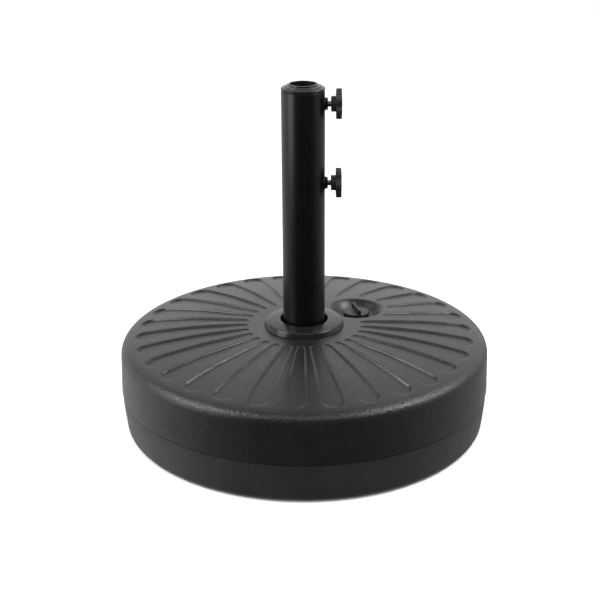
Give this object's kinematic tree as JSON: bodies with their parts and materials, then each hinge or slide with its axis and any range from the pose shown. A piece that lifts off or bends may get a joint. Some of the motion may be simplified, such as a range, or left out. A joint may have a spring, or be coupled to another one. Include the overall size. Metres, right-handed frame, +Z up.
{
  "type": "umbrella base",
  "caption": "Round fillable resin umbrella base with a steel pole tube, star-knob clamp screws and a filler cap.",
  "frame": {"origin": "centre of the tank's underside, where it rests on the ground", "axes": "+Z up along the tube, +X along the clamp screws towards their knobs"},
  "size_m": [0.508, 0.508, 0.4725],
  "materials": {
    "tank_resin": "moulded grain, satin black",
    "trim_resin": "smooth satin black",
    "knob_resin": "fine moulded black",
    "powder_coat": "satin black powder coat",
    "screw_steel": "bright zinc plate",
    "zinc_steel": "dull zinc plate",
    "seal_rubber": "matt black"
  },
  "bodies": {
    "stand": {"tank": "tank_resin", "collar_ring": "trim_resin", "stand_tube": "powder_coat", "foot_plate": "powder_coat", "foot_nut": "zinc_steel", "anchor_bolt": "zinc_steel", "anchor_washer": "zinc_steel", "anchor_lock_washer": "zinc_steel", "weld_nut_upper": "powder_coat", "weld_nut_lower": "powder_coat"},
    "upper_clamp_screw": {"clamp_screw_upper": "screw_steel"},
    "upper_clamp_knob": {"clamp_knob_upper": "knob_resin"},
    "lower_clamp_screw": {"clamp_screw_lower": "screw_steel"},
    "lower_clamp_knob": {"clamp_knob_lower": "knob_resin"},
    "cap_seal": {"filler_cap_seal": "seal_rubber"},
    "cap": {"filler_cap": "knob_resin"},
    "bushing": {"pole_bushing": "trim_resin"}
  },
  "joints": [
    {"name": "upper_screw_travel", "type": "slide", "parent": "stand", "child": "upper_clamp_screw", "axis": [1, 0, 0], "range_m": [-0.0038, 0.0113]},
    {"name": "upper_knob_turn", "type": "hinge", "parent": "upper_clamp_screw", "child": "upper_clamp_knob", "pos_m": [0.0364, 0, 0.4459], "axis": [1, 0, 0], "range_deg": [-1080, 3240]},
    {"name": "lower_screw_travel", "type": "slide", "parent": "stand", "child": "lower_clamp_screw", "axis": [1, 0, 0], "range_m": [-0.0038, 0.0113]},
    {"name": "lower_knob_turn", "type": "hinge", "parent": "lower_clamp_screw", "child": "lower_clamp_knob", "pos_m": [0.0364, 0, 0.3401], "axis": [1, 0, 0], "range_deg": [-1080, 3240]},
    {"name": "cap_lift", "type": "slide", "parent": "stand", "child": "cap_seal", "axis": [0, 0, 1], "range_m": [0, 0.0161]},
    {"name": "cap_turn", "type": "hinge", "parent": "cap_seal", "child": "cap", "pos_m": [0.07489, 0.06022, 0.127], "axis": [0, 0, 1], "range_deg": [0, 1440]},
    {"name": "bushing_lift", "type": "slide", "parent": "stand", "child": "bushing", "axis": [0, 0, 1], "range_m": [0, 0.03]}
  ],
  "couplings": [
    {"joint": "upper_screw_travel", "follows": "upper_knob_turn", "m_per_rad": 0.00019894},
    {"joint": "lower_screw_travel", "follows": "lower_knob_turn", "m_per_rad": 0.00019894},
    {"joint": "cap_lift", "follows": "cap_turn", "m_per_rad": 0.00063662}
  ]
}
